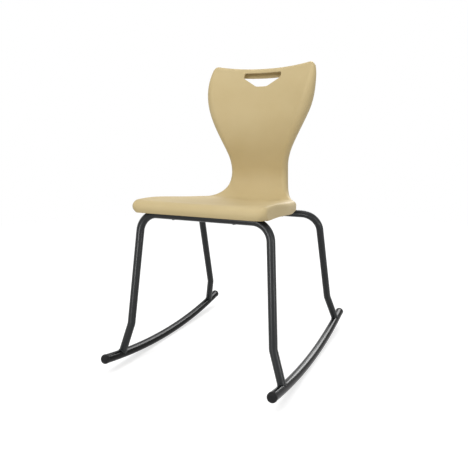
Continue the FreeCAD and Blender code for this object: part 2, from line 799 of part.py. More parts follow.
def shell_section(s, row, inset):
    """Points across one row: the sheet, its rolled edge and the straight skirt, mirrored."""
    width = row["half_width"]
    roll = max(row["roll"], s["shell_wall"] + s["least_inner_roll"])
    facing = row["facing"]
    lean = row["lifting"].dot(facing)

    def sheet(x):
        share = x / width
        base = row["point"] + X_AXIS * x + row["lifting"] * (row["wing"] * share * share)
        tilt = math.atan(2 * row["wing"] * share / width * lean)
        return base + row["rise"] * abs(share) ** 3, tilt

    edge = width - roll
    for _ in range(3):
        edge = width - roll * (1 + math.sin(sheet(edge)[1]))
    turn = math.pi / 2 + sheet(edge)[1]
    fall = max(row["depth"] - roll, s["least_skirt"])
    pitch = (roll * turn + fall) / RIM_COLUMNS
    half = []
    for step in range(SHEET_COLUMNS, -1, -1):
        share = step / SHEET_COLUMNS
        x = edge - pitch * step - (edge - pitch * SHEET_COLUMNS) * share ** 3
        base, tilt = sheet(x)
        half.append(base - (facing * math.cos(tilt) - X_AXIS * math.sin(tilt)) * inset)
    base, tilt = sheet(edge)
    centre = base - (facing * math.cos(tilt) - X_AXIS * math.sin(tilt)) * roll
    for step in range(1, RIM_COLUMNS + 1):
        run = pitch * step
        angle = min(run / roll, turn) - tilt
        outward = X_AXIS * math.sin(angle) + facing * math.cos(angle)
        half.append(centre + outward * (roll - inset) - facing * max(run - roll * turn, 0))
    mirrored = [FreeCAD.Vector(-p.x, p.y, p.z) for p in reversed(half[1:])]
    return mirrored + half


def distances(points):
    """Distance run at each point of a line."""
    run = [0]
    for before, after in zip(points, points[1:]):
        run.append(run[-1] + (after - before).Length)
    return run


def woven(grid, places, across):
    """Smooth surface through a grid whose rows and columns lie at given distances."""
    rows = []
    for points in grid:
        curve = Part.BSplineCurve()
        curve.interpolate(Points=points, Parameters=across)
        rows.append(curve)
    columns = []
    for poles in zip(*(curve.getPoles() for curve in rows)):
        curve = Part.BSplineCurve()
        curve.interpolate(Points=list(poles), Parameters=places)
        columns.append(curve)
    surface = Part.BSplineSurface()
    surface.buildFromPolesMultsKnots(
        [list(poles) for poles in zip(*(curve.getPoles() for curve in columns))],
        columns[0].getMultiplicities(),
        rows[0].getMultiplicities(),
        columns[0].getKnots(),
        rows[0].getKnots(),
        False,
        False,
        columns[0].Degree,
        rows[0].Degree,
    )
    return surface


def bridge(first, second):
    """Straight-ruled face between two edge curves of the same build."""
    surface = Part.BSplineSurface()
    surface.buildFromPolesMultsKnots(
        [first.getPoles(), second.getPoles()],
        [2, 2],
        first.getMultiplicities(),
        [0, 1],
        first.getKnots(),
        False,
        False,
        1,
        first.Degree,
    )
    return surface.toShape()


def shell_skin(s):
    """Solid wall of even thickness between an outer and an inner moulded surface."""
    stretches = centre_line(s)
    rows = shell_rows(s, stretches)
    places = [row["place"] for row in rows]
    grids = [[shell_section(s, row, inset) for row in rows] for inset in (0, s["shell_wall"])]
    across = distances(grids[0][len(rows) // 2])
    outer, inner = (woven(grid, places, across) for grid in grids)
    faces = [outer.toShape(), inner.toShape()]
    first_row, last_row, first_column, last_column = outer.bounds()
    for row in (first_row, last_row):
        faces.append(bridge(outer.uIso(row), inner.uIso(row)))
    for column in (first_column, last_column):
        faces.append(bridge(outer.vIso(column), inner.vIso(column)))
    shell = Part.makeShell(faces)
    shell.sewShape()
    solid = Part.makeSolid(Part.Shell(shell.Faces))
    if solid.Volume < 0:
        solid.reverse()
    return solid


def seat_bosses(doc, s):
    """Screw bosses standing on the saddles, each held by two crossing ribs; and their bores."""
    root = s["saddle_top"]
    posts = []
    bores = []
    for name, side, along in saddle_stations(s):
        post = doc.addObject("Part::Cylinder", f"{name}_boss")
        post.setExpression("Radius", "Sizes.boss_radius")
        post.setExpression("Height", "Sizes.boss_height")
        post.Placement = screw_place(s, side, along, root)
        bore = doc.addObject("Part::Cylinder", f"{name}_boss_bore")
        bore.setExpression("Radius", "Sizes.boss_bore_radius")
        bore.setExpression("Height", "Sizes.boss_bore_depth")
        bore.Placement = screw_place(s, side, along, root)
        posts.append(post)
        bores.append(bore)
        for direction, turn in (("across", 0), ("along", 90)):
            rib = doc.addObject("Part::Box", f"{name}_rib_{direction}")
            rib.setExpression("Length", "Sizes.rib_length")
            rib.setExpression("Width", "Sizes.rib_thickness")
            rib.setExpression("Height", "Sizes.rib_height")
            middle = screw_place(s, side, along, root + s["rib_step"])
            offset = FreeCAD.Vector(-s["rib_length"] / 2, -s["rib_thickness"] / 2, 0)
            rib.Placement = middle.multiply(turned(ORIGIN, Z_AXIS, turn)).multiply(turned(offset))
            posts.append(rib)
    return posts, bores


def grip_cutter(doc, s, stretches):
    """Prism of the hand-hold: a straight top, short ends and a floor drawn down to the middle."""
    top, up = stretches["upper"][1](1)
    facing = X_AXIS.cross(up)
    lean = math.degrees(math.atan2(up.y, up.z))
    reach = s["back_wing_radius"] - math.sqrt(s["back_wing_radius"] ** 2 - s["grip_half"] ** 2)
    middle = top - up * s["grip_set"] + facing * (reach - s["shell_wall"]) / 2
    body = new_body(doc, "grip_cutter", turned(middle, X_AXIS, -lean))
    outline = new_sketch(body, "grip_outline", "XZ_Plane")
    corners = (
        ("-grip_half", None),
        ("grip_half", None),
        ("grip_half", "-grip_end_height"),
        ("grip_floor_half", "-grip_height"),
        ("-grip_floor_half", "-grip_height"),
        ("-grip_half", "-grip_end_height"),
    )
    corner, floor = "grip_corner_radius", "grip_floor_radius"
    rounded_line(outline, s, corners, (corner, corner, corner, floor, floor, corner), closed=True)
    pad(body, outline, "grip_depth_cut", "grip_cut_depth")
    return body


def seat_shell(doc, s):
    """The whole moulding: skin, bosses and ribs, less the screw bores and the hand-hold."""
    skin = doc.addObject("Part::Feature", "shell_skin")
    skin.Shape = shell_skin(s)
    posts, bores = seat_bosses(doc, s)
    solid = finish(doc, "Part::MultiFuse", "shell_solid", Shapes=[skin, *posts])
    grip = grip_cutter(doc, s, centre_line(s))
    cutters = finish(doc, "Part::Compound", "shell_cutters", Links=[*bores, grip])
    return finish(doc, "Part::Cut", "seat_shell", Base=solid, Tool=cutters)


def main():
    doc = FreeCAD.newDocument("rocking_school_chair")
    s = derive(SIZES)
    make_sheet(doc, s)
    pieces = [seat_shell(doc, s)]
    for make in (leg_arches, seat_rails, seat_fixings, rockers):
        pieces += make(doc, s)
    doc.recompute()
    faults = []
    for thing in doc.Objects:
        if "Invalid" in thing.State or "Error" in thing.State:
            faults.append(f"{thing.Label} failed to build")
    for piece in pieces:
        if piece.Shape.isNull() or not piece.Shape.isValid():
            faults.append(f"{piece.Label} has no sound shape")
    if faults:
        raise RuntimeError("; ".join(faults))
    os.makedirs("parts", exist_ok=True)
    for piece in pieces:
        piece.Shape.exportStep(os.path.join("parts", f"{piece.Label}.step"))
        print(piece.Label, len(piece.Shape.Solids), round(piece.Shape.Volume))


main()
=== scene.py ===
# Moulded shell, finishes and studio of the rocking school chair, laid out as an add-on and run as a script.
import math

import bmesh
import bpy
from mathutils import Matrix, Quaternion, Vector


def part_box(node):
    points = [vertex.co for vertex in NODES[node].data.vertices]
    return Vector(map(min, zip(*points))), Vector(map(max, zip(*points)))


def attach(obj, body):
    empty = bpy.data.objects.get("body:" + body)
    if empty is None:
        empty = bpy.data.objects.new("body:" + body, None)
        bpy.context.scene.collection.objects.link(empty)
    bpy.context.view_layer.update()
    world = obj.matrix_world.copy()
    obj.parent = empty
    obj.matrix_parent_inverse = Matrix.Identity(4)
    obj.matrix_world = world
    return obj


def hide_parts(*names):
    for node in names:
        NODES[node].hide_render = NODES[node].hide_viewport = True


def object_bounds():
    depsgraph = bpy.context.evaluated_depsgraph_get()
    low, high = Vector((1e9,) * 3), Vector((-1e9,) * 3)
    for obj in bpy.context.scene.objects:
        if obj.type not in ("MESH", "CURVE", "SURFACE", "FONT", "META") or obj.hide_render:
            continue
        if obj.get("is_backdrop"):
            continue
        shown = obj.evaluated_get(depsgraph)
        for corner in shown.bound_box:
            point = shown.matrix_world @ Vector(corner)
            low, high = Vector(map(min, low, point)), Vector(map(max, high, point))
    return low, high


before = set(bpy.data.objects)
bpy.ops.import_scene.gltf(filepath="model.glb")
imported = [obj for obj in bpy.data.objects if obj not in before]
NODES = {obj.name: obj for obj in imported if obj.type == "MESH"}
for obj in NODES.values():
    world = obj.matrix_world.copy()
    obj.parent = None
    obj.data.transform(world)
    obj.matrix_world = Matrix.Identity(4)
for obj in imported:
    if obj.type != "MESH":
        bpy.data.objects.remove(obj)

bl_info = {
    "name": "Rocking School Chair",
    "version": (1, 0, 0),
    "blender": (4, 5, 0),
    "location": "3D View > Sidebar > Rocking Chair",
    "description": "Builds the moulded shell, the welds, the finishes and the studio of the chair",
    "category": "Object",
}

BODY = "root"
X_AXIS = Vector((1, 0, 0))
Y_AXIS = Vector((0, 1, 0))
Z_AXIS = Vector((0, 0, 1))

# Shape of the shell along its centre line. Each stretch names the size that it follows, and then
# gives pairs of a place along the stretch and a share of that size there.
WIDTH_SHARES = {
    "lip": ("seat_width", ((0.0, 1.0), (0.4, 1.012), (0.7, 1.012), (1.0, 1.007))),
    "seat": ("seat_width", ((0.33, 0.998), (0.61, 0.97), (0.83, 0.905), (1.0, 0.822))),
    "bend": ("neck_width", ((0.18, 1.445), (0.35, 1.255), (0.55, 1.082), (0.75, 1.005), (1.0, 0.995))),
    "neck": ("neck_width", ((0.5, 1.035), (1.0, 1.125))),
    "lumbar": ("back_width", ((0.35, 0.722), (0.75, 0.861), (1.0, 0.934))),
    "upper": ("back_width", ((0.3, 0.986), (0.6, 1.0), (1.0, 0.962))),
    "crest": ("back_width", ((0.5, 0.927), (1.0, 0.915))),
    "flange": ("back_width", ((1.0, 0.89),)),
}
# Radius of the rolled rim.
ROLL_SHARES = {
    "lip": ("seat_rim_roll", ((0.0, 1.5), (0.5, 1.3), (1.0, 0.9))),
    "seat": ("seat_rim_roll", ((0.5, 1.0), (1.0, 1.0))),
    "neck": ("back_rim_roll", ((0.0, 0.75),)),
    "lumbar": ("back_rim_roll", ((0.5, 1.0),)),
    "upper": ("back_rim_roll", ((0.5, 0.95),)),
    "crest": ("crest_rim_roll", ((0.0, 1.0), (0.5, 0.95))),
    "flange": ("crest_rim_roll", ((1.0, 0.8),)),
}
# Depth of the whole rim below the edge of the sheet.
DEPTH_SHARES = {
    "lip": ("seat_rim_depth", ((0.0, 0.9), (1.0, 1.1))),
    "seat": ("seat_rim_depth", ((0.15, 1.12), (0.38, 1.07), (0.66, 1.02), (0.9, 0.85))),
    "bend": ("neck_rim_depth", ((0.4, 1.0),)),
    "neck": ("neck_rim_depth", ((0.5, 1.0),)),
    "lumbar": ("back_rim_depth", ((0.6, 1.0),)),
    "upper": ("back_rim_depth", ((0.45, 0.97),)),
    "crest": ("crest_rim_depth", ((0.0, 1.0), (0.5, 1.0))),
    "flange": ("crest_rim_depth", ((1.0, 0.8),)),
}
# How far the side edges stand proud of the middle: on the seat as shares of the dish, and on the
# back as shares of the bow that its wing radius gives.
DISH_SHARES = {
    "lip": ((0.0, 0.2), (1.0, 0.6)),
    "seat": ((0.15, 1.15), (0.35, 1.4), (0.6, 1.25), (0.8, 1.15), (1.0, 1.25)),
    "bend": ((0.5, 1.4),),
}
BOW_SHARES = {
    "neck": ((0.0, 1.0), (0.5, 1.0)),
    "lumbar": ((0.0, 1.0), (0.5, 1.08)),
    "upper": ((0.0, 1.18), (0.5, 1.12)),
    "crest": ((0.0, 0.68),),
    "flange": ((0.0, 0.68), (1.0, 0.68)),
}
# Rows of the moulding's grid in each stretch of its centre line.
GRID_ROWS = {
    "lip": 16,
    "seat": 34,
    "bend": 14,
    "neck": 8,
    "lumbar": 14,
    "upper": 32,
    "crest": 18,
    "flange": 4,
}
EASED = ("seat", "upper")
# How steeply the crest rises towards its ends.
CREST_POWER = 2.4

# Lengths in metres below which corners count as one, or as lying on a skin.
SAME_CORNER = 1e-6
GRIP_MERGE = 0.0004
ON_SKIN = 0.00012

GRIP_ARC_STEPS = 5
BOSS_STEPS = 40
RIPPLE_STEPS = 4
# Angle that holds one point of a weld's ring, and the least reach of a point that is kept.
BEAD_SLOT = math.radians(6)
BEAD_REACH = 0.8

# Height in metres of the grain that the finishes raise.
GRAIN_HEIGHT = 0.0003


def wattage(title, about, default):
    """Strength of a lamp in watts."""
    return bpy.props.FloatProperty(name=title, description=about, default=default, min=0, unit="POWER")


def length(title, about, default):
    """A size in metres that a user may change."""
    return bpy.props.FloatProperty(
        name=title, description=about, default=default, unit="LENGTH", precision=4
    )


def count(title, about, default):
    return bpy.props.IntProperty(name=title, description=about, default=default, min=1)


def tint(title, about, default):
    return bpy.props.FloatVectorProperty(
        name=title, description=about, default=default, size=3, min=0, max=1, subtype="COLOR"
    )


class ShellSizes(bpy.types.PropertyGroup):
    """Sizes of the moulded seat and back."""

    wall: length("Wall", "Thickness of the moulding", 0.0045)
    edge_round: length("Edge Round", "Radius that softens the moulding's free edges", 0.0012)
    seat_front: length("Seat Front", "Place of the lip in front of the middle of the rockers", 0.2705)
    seat_front_height: length("Seat Front Height", "Height of the seat's centre line at the lip", 0.4805)
    seat_slope: bpy.props.FloatProperty(
        name="Seat Slope", description="Fall of the seat towards the back", default=math.radians(4.531),
        subtype="ANGLE",
    )
    seat_width: length("Seat Width", "Widest part of the seat", 0.384)
    seat_dish: length("Seat Dish", "Hollow of the seat below its side edges", 0.006)
    seat_rim_roll: length("Seat Rim Roll", "Radius of the seat's side rim", 0.013)
    seat_rim_depth: length("Seat Rim Depth", "Depth of the seat's side rim", 0.031)
    lip_radius: length("Lip Radius", "Radius of the front lip", 0.033)
    lip_shortfall: length("Lip Shortfall", "How much the lip stops short of upright", 0.003)
    lip_curl: length("Lip Curl", "How far the lip's free edge is drawn in", 0.009)
    neck_reach: length("Neck Reach", "Place of the seat's rear bend behind the middle", 0.189)
    neck_width: length("Neck Width", "Narrowest part of the shell", 0.194)
    neck_rim_depth: length("Neck Rim Depth", "Depth of the rim at the waist", 0.024)
    seat_bend_radius: length("Seat Bend Radius", "Radius between the seat and the back", 0.080)
    lumbar_height: length("Lumbar Height", "Height of the bend in the back", 0.667)
    lumbar_reach: length("Lumbar Reach", "Place of the bend in the back", 0.1380)
    lumbar_radius: length("Lumbar Radius", "Radius of the bend in the back", 0.235)
    back_width: length("Back Width", "Widest part of the back", 0.360)
    back_wing_radius: length("Back Wing Radius", "Radius across the back", 0.440)
    back_rim_roll: length("Back Rim Roll", "Radius of the back's side rim", 0.020)
    back_rim_depth: length("Back Rim Depth", "Depth of the back's side rim", 0.028)
    crest_height: length("Crest Height", "Height of the crest at the middle", 0.861)
    crest_reach: length("Crest Reach", "Place of the crest behind the middle of the rockers", 0.2035)
    crest_radius: length("Crest Radius", "Radius of the crest's fold", 0.014)
    crest_rise: length("Crest Rise", "Rise of the crest towards its ends", 0.0075)
    crest_flange: length("Crest Flange", "Height of the flange behind the crest", 0.011)
    crest_rim_roll: length("Crest Rim Roll", "Radius of the rim at the crest", 0.0115)
    crest_rim_depth: length("Crest Rim Depth", "Depth of the rim at the crest", 0.0125)
    grip_width: length("Hand-hold Width", "Width of the hand-hold", 0.125)
    grip_end_height: length("Hand-hold End Height", "Height of the hand-hold at its ends", 0.018)
    grip_height: length("Hand-hold Height", "Height of the hand-hold at the middle", 0.046)
    grip_floor_width: length("Hand-hold Floor", "Width of the hand-hold's floor", 0.036)
    grip_corner_radius: length("Hand-hold Corner", "Radius of the hand-hold's upper corners", 0.006)
    grip_floor_radius: length("Hand-hold Floor Corner", "Radius of the hand-hold's lower corners", 0.020)
    grip_set: length("Hand-hold Set", "How far the hand-hold lies below the crest's fold", 0.004)
    sheet_columns: count("Sheet Columns", "Columns of the grid from the middle to the rim", 18)
    rim_columns: count("Rim Columns", "Columns of the grid round the rim", 12)


class FixingSizes(bpy.types.PropertyGroup):
    """Sizes of the bosses, ribs and welds."""

    rail_spacing: length("Rail Spacing", "Distance between the two seat rails", 0.180)
    screw_offset: length("Screw Offset", "Distance of a screw from its rail", 0.026)
    boss_diameter: length("Boss Diameter", "Diameter of the screw bosses", 0.020)
    boss_bore: length("Boss Bore", "Diameter of the bore in a boss", 0.0062)
    boss_bore_depth: length("Boss Bore Depth", "Depth of the bore in a boss", 0.018)
    rib_length: length("Rib Length", "Length of a rib across a boss", 0.064)
    rib_thickness: length("Rib Thickness", "Thickness of a rib at its foot", 0.003)
    rib_draft: length("Rib Draft", "How much thinner a rib is at its free edge", 0.0008)
    rib_step: length("Rib Step", "How far a rib stops above its boss's face", 0.004)
    bead_radius: length("Bead Radius", "Radius of the weld beads", 0.0017)
    bead_ripple: length("Bead Ripple", "Height of the ripples on the weld beads", 0.00025)
    ripple_pitch: length("Ripple Pitch", "Distance between ripples on the weld beads", 0.0022)
    leg_diameter: length("Leg Diameter", "Diameter of the leg tubes and rails", 0.0222)
    runner_diameter: length("Runner Diameter", "Diameter of the runner tubes", 0.0254)
    runner_radius: length("Runner Arc", "Radius of the arc that the runners touch the floor with", 1.7077)


class FinishColours(bpy.types.PropertyGroup):
    """Colours of the finishes."""

    shell: tint("Shell", "Sand colour of the moulding", (0.575, 0.46, 0.245))
    shell_shade: tint("Shell Shade", "Deeper tone in the moulding's mottle", (0.54, 0.423, 0.215))
    legs: tint("Legs", "Charcoal of the legs", (0.0190, 0.0205, 0.0215))
    legs_fleck: tint("Leg Fleck", "Paler fleck in the charcoal coat", (0.038, 0.041, 0.043))
    runners: tint("Runners", "Black of the runners", (0.0045, 0.0048, 0.0050))
    caps: tint("Caps", "Black of the end caps", (0.0065, 0.0065, 0.0068))
    zinc: tint("Zinc", "Zinc plate of the screws and washers", (0.62, 0.63, 0.64))


class StudioSettings(bpy.types.PropertyGroup):
    """Camera, lamps and floor."""

    eye: bpy.props.FloatVectorProperty(
        name="Camera Place", description="Where the camera stands", default=(0.6252, -1.3488, 0.6406),
        subtype="TRANSLATION", unit="LENGTH",
    )
    heading: bpy.props.FloatVectorProperty(
        name="Camera Heading", description="Direction in which the camera looks",
        default=(-0.41795, 0.88916, -0.18633), subtype="DIRECTION",
    )
    lens: bpy.props.FloatProperty(
        name="Lens", description="Focal length in millimetres", default=38.6, min=1, unit="CAMERA",
    )
    sensor: bpy.props.FloatProperty(
        name="Sensor", description="Width of the sensor in millimetres", default=36, min=1, unit="CAMERA",
    )
    floor_size: length("Floor Size", "Width of the floor", 6.0)
    floor_lift: bpy.props.FloatProperty(
        name="Floor Lift", description="Brightness added where the floor is seen", default=0.62, min=0,
    )
    sky: bpy.props.FloatProperty(name="Sky", description="Strength of the even light", default=0.5, min=0)
    key: wattage("Key", "Strength of the key lamp", 23)
    top: wattage("Top", "Strength of the top lamp", 20)
    strips: wattage("Strips", "Strength of the left low lamp, twice that of the right", 18)
    runner: wattage("Runner Shine", "Strength of the lamp that only the runners reflect", 85)
    strip_height: length("Strip Height", "Height that the two low lamps point at", 0.25)
    fill: wattage("Fill", "Strength of the fill lamp", 8)
    back: wattage("Back", "Strength of the rear lamp", 24)


# Curves and shapes that several pieces use

def smooth(points):
    """A smooth curve through pairs of distance and value, as a function of distance."""
    places = [place for place, value in points]
    values = [value for place, value in points]
    gaps = [b - a for a, b in zip(places, places[1:])]
    rises = [(b - a) / gap for a, b, gap in zip(values, values[1:], gaps)]
    last = len(points) - 1
    first_bend = (rises[1] - rises[0]) / (gaps[0] + gaps[1])
    last_bend = (rises[-1] - rises[-2]) / (gaps[-1] + gaps[-2])
    slopes = [rises[0] - first_bend * gaps[0]]
    lower, middle, upper, right = [0], [1], [0], slopes[:]
    for i in range(1, last):
        lower.append(gaps[i])
        middle.append(2 * (gaps[i - 1] + gaps[i]))
        upper.append(gaps[i - 1])
        right.append(3 * (rises[i - 1] * gaps[i] + rises[i] * gaps[i - 1]))
    lower.append(0)
    middle.append(1)
    upper.append(0)
    right.append(rises[-1] + last_bend * gaps[-1])
    for i in range(1, last + 1):
        factor = lower[i] / middle[i - 1]
        middle[i] -= factor * upper[i - 1]
        right[i] -= factor * right[i - 1]
    slopes = [0] * (last + 1)
    slopes[last] = right[last] / middle[last]
    for i in range(last - 1, -1, -1):
        slopes[i] = (right[i] - upper[i] * slopes[i + 1]) / middle[i]

    def value_at(place):
        i = 0
        while i < last - 1 and place > places[i + 1]:
            i += 1
        t = (place - places[i]) / gaps[i]
        stay = (1 + 2 * t) * (1 - t) ** 2 * values[i] + t * t * (3 - 2 * t) * values[i + 1]
        lean = t * (1 - t) ** 2 * slopes[i] - t * t * (1 - t) * slopes[i + 1]
        return stay + lean * gaps[i]

    return value_at


def ease(part):
    """Run from zero to one, level at both ends."""
    return part * part * (3 - 2 * part)


def straight(start, end):
    """A straight stretch of the centre line: its length, and the place and heading at a share of it."""
    heading = (end - start).normalized()

    def at(part):
        return start + (end - start) * part, heading

    return (end - start).length, at


def swing(centre, start, heading, turn):
    """A stretch bent round a centre by a turn, left turns being positive."""
    def at(part):
        rotation = Quaternion(X_AXIS, turn * part)
        return centre + rotation @ (start - centre), rotation @ heading

    return abs(turn) * (start - centre).length, at


def add_piece(name, bm, material):
    """Turn a finished bmesh into a piece that rides on the chair."""
    mesh = bpy.data.meshes.new(name)
    bm.to_mesh(mesh)
    bm.free()
    for polygon in mesh.polygons:
        polygon.use_smooth = True
    piece = bpy.data.objects.new(name, mesh)
    bpy.context.scene.collection.objects.link(piece)
    mesh.materials.append(material)
    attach(piece, BODY)
    return piece


def dress(node, material):
    """Give a node of the frame its finish."""
    piece = NODES[node]
    if not piece.material_slots:
        piece.data.materials.append(material)
    for slot in piece.material_slots:
        slot.material = material


# Moulded shell

def on_seat_line(sizes, reach):
    """Point of the seat's middle line at a distance behind the middle of the rockers."""
    drop = (reach + sizes.seat_front) * math.tan(sizes.seat_slope)
    return Vector((0, reach, sizes.seat_front_height - drop))


def centre_line(sizes):
    """Middle line of the sitting face, from the underside of the front lip to the back's flange."""
    lip = on_seat_line(sizes, -sizes.seat_front)
    neck = on_seat_line(sizes, sizes.neck_reach)
    lumbar = Vector((0, sizes.lumbar_reach, sizes.lumbar_height))
    rise = sizes.crest_height - sizes.lumbar_height
    lean = math.atan2(sizes.crest_reach - sizes.lumbar_reach, rise)
    up = Vector((0, math.sin(lean), math.cos(lean)))
    drop = sizes.crest_radius * (1 - math.sin(lean))
    top = lumbar + up * ((rise - drop) / math.cos(lean))
    corners = [lip - Z_AXIS * sizes.lip_radius, lip, neck, lumbar, top]
    bends = (("lip", "lip_radius"), ("bend", "seat_bend_radius"), ("lumbar", "lumbar_radius"))
    runs = ("", "seat", "neck", "upper")
    stretches = {}
    here = None
    for i, (name, size) in enumerate(bends, start=1):
        radius = getattr(sizes, size)
        before = (corners[i] - corners[i - 1]).normalized()
        after = (corners[i + 1] - corners[i]).normalized()
        turn = math.copysign(before.angle(after), before.cross(after).x)
        start = corners[i] - before * (radius * math.tan(abs(turn) / 2))
        centre = start + X_AXIS.cross(before) * math.copysign(radius, turn)
        if here:
            stretches[runs[i - 1]] = straight(here, start)
        if name == "lip":
            short = math.copysign(math.asin(sizes.lip_shortfall / sizes.lip_radius), turn)
            start, before = swing(centre, start, before, short)[1](1)
            turn -= short
        stretches[name] = swing(centre, start, before, turn)
        here = stretches[name][1](1)[0]
    stretches["upper"] = straight(here, top)
    behind = -X_AXIS.cross(up)
    stretches["crest"] = swing(top + behind * sizes.crest_radius, top, up, -math.pi)
    foot = top + behind * (2 * sizes.crest_radius)
    stretches["flange"] = straight(foot, foot - up * sizes.crest_flange)
    return stretches


def stations(stretches):
    """Distance along the centre line at which each stretch starts."""
    starts = {}
    run = 0
    for name in GRID_ROWS:
        starts[name] = run
        run += stretches[name][0]
    return starts


def along_shell(sizes, stretches):
    """Width, wing height, rim roll and rim depth as functions of the distance along the shell."""
    starts = stations(stretches)

    def distance(name, part):
        return starts[name] + stretches[name][0] * part

    def spread(table):
        """A smooth curve through the sizes of a table."""
        return smooth([
            (distance(name, part), getattr(sizes, size) * value)
            for name, (size, pairs) in table.items()
            for part, value in pairs
        ])

    width = spread(WIDTH_SHARES)
    wings = []
    for name, pairs in DISH_SHARES.items():
        wings += [(distance(name, part), sizes.seat_dish * value) for part, value in pairs]
    for name, pairs in BOW_SHARES.items():
        for part, value in pairs:
            place = distance(name, part)
            bow = (width(place) / 2) ** 2 / (2 * sizes.back_wing_radius)
            wings.append((place, bow * value))
    return width, smooth(wings), spread(ROLL_SHARES), spread(DEPTH_SHARES)


def shell_rows(sizes, stretches):
    """Frame of the shell at each row of its grid: place, facing, wing direction and sizes."""
    width, wing, roll, depth = along_shell(sizes, stretches)
    starts = stations(stretches)
    up = stretches["upper"][1](1)[1]
    rows = []
    for name, steps in GRID_ROWS.items():
        for step in range(steps + (name == "flange")):
            part = step / steps
            if name in EASED:
                part = ease(part)
            point, heading = stretches[name][1](part)
            place = starts[name] + stretches[name][0] * part
            facing = X_AXIS.cross(heading)
            on_top = name in ("crest", "flange")
            rise = 1 if on_top else ease(part) if name == "upper" else 0
            curl = sizes.lip_curl * (1 - part) ** 3 if name == "lip" else 0
            rows.append({
                "point": point,
                "facing": facing,
                "lifting": X_AXIS.cross(up) if on_top else facing,
                "rise": up * (sizes.crest_rise * rise),
                "curl": curl,
                "half_width": width(place) / 2,
                "wing": wing(place),
                "roll": roll(place),
                "depth": depth(place),
            })
    return rows


def shell_section(sizes, row):
    """Points across one row: the sheet, its rolled edge and the straight skirt, mirrored."""
    width = row["half_width"]
    roll = row["roll"]
    facing = row["facing"]
    lean = row["lifting"].dot(facing)

    def sheet(x):
        part = x / width
        base = row["point"] + X_AXIS * x + row["lifting"] * (row["wing"] * part * part)
        tilt = math.atan(2 * row["wing"] * part / width * lean)
        return base + row["rise"] * abs(part) ** CREST_POWER, tilt

    edge = width - roll
    for _ in range(3):
        edge = width - roll * (1 + math.sin(sheet(edge)[1]))
    turn = math.pi / 2 + sheet(edge)[1]
    fall = max(row["depth"] - roll, 0)
    pitch = (roll * turn + fall) / sizes.rim_columns
    half = []
    for step in range(sizes.sheet_columns, -1, -1):
        part = step / sizes.sheet_columns
        x = edge - pitch * step - (edge - pitch * sizes.sheet_columns) * part ** 3
        half.append(sheet(x)[0])
    base, tilt = sheet(edge)
    centre = base - (facing * math.cos(tilt) - X_AXIS * math.sin(tilt)) * roll
    for step in range(1, sizes.rim_columns + 1):
        run = pitch * step
        angle = min(run / roll, turn) - tilt
        outward = X_AXIS * math.sin(angle) + facing * math.cos(angle)
        half.append(centre + outward * roll - facing * max(run - roll * turn, 0))
    for point in half:
        point.x *= 1 - row["curl"] / width
        point.y += row["curl"]
    mirrored = [Vector((-p.x, p.y, p.z)) for p in reversed(half[1:])]
    return mirrored + half


def rounded_outline(corners, radii, steps):
    """Corners of an outline with each one rounded by an arc of a few steps."""
    outline = []
    for i, corner in enumerate(corners):
        back = (corners[i - 1] - corner).normalized()
        ahead = (corners[(i + 1) % len(corners)] - corner).normalized()
        half = back.angle(ahead) / 2
        centre = corner + (back + ahead).normalized() * (radii[i] / math.sin(half))
        first = corner + back * (radii[i] / math.tan(half)) - centre
        last = corner + ahead * (radii[i] / math.tan(half)) - centre
        axis = first.cross(last).normalized()
        sweep = first.angle(last)
        for step in range(steps + 1):
            outline.append(centre + Quaternion(axis, sweep * step / steps) @ first)
    return outline


def grip_outline(sizes, stretches):
    """Outline of the hand-hold on the front of the back, and the direction that it is cut in."""
    top, up = stretches["upper"][1](1)
    facing = X_AXIS.cross(up)
    origin = top - up * sizes.grip_set
    half = sizes.grip_width / 2
    floor = sizes.grip_floor_width / 2
    low = sizes.grip_end_height
    deep = sizes.grip_height
    flat = ((-half, 0), (half, 0), (half, low), (floor, deep), (-floor, deep), (-half, low))
    corners = [origin + X_AXIS * x - up * fall for x, fall in flat]
    corner, round_floor = sizes.grip_corner_radius, sizes.grip_floor_radius
    radii = (corner, corner, corner, round_floor, round_floor, corner)
    return rounded_outline(corners, radii, GRIP_ARC_STEPS), facing


def cut_grip(bm, sizes, stretches):
    """Open the hand-hold by cutting the front sheet along each side of the outline."""
    outline, facing = grip_outline(sizes, stretches)
    middle = sum(outline, Vector()) / len(outline)
    inside = [
        face for face in bm.faces
        if (face.calc_center_median() - middle).length < sizes.grip_width
        and face.normal.dot(facing) > 0.5
    ]
    for here, there in zip(outline, outline[1:] + outline[:1]):
        outward = (there - here).cross(facing).normalized()
        if outward.dot(middle - here) > 0:
            outward.negate()
        edges = {edge for face in inside for edge in face.edges}
        corners = {corner for face in inside for corner in face.verts}
        cut = bmesh.ops.bisect_plane(
            bm, geom=[*corners, *edges, *inside], dist=SAME_CORNER, plane_co=here, plane_no=outward
        )
        faces = [item for item in cut["geom"] if isinstance(item, bmesh.types.BMFace)]
        inside = [face for face in faces if outward.dot(face.calc_center_median() - here) < 0]
    rim = {corner for face in inside for corner in face.verts}
    bmesh.ops.delete(bm, geom=inside, context="FACES")
    rim = [corner for corner in rim if corner.is_valid]
    bmesh.ops.remove_doubles(bm, verts=rim, dist=GRIP_MERGE)


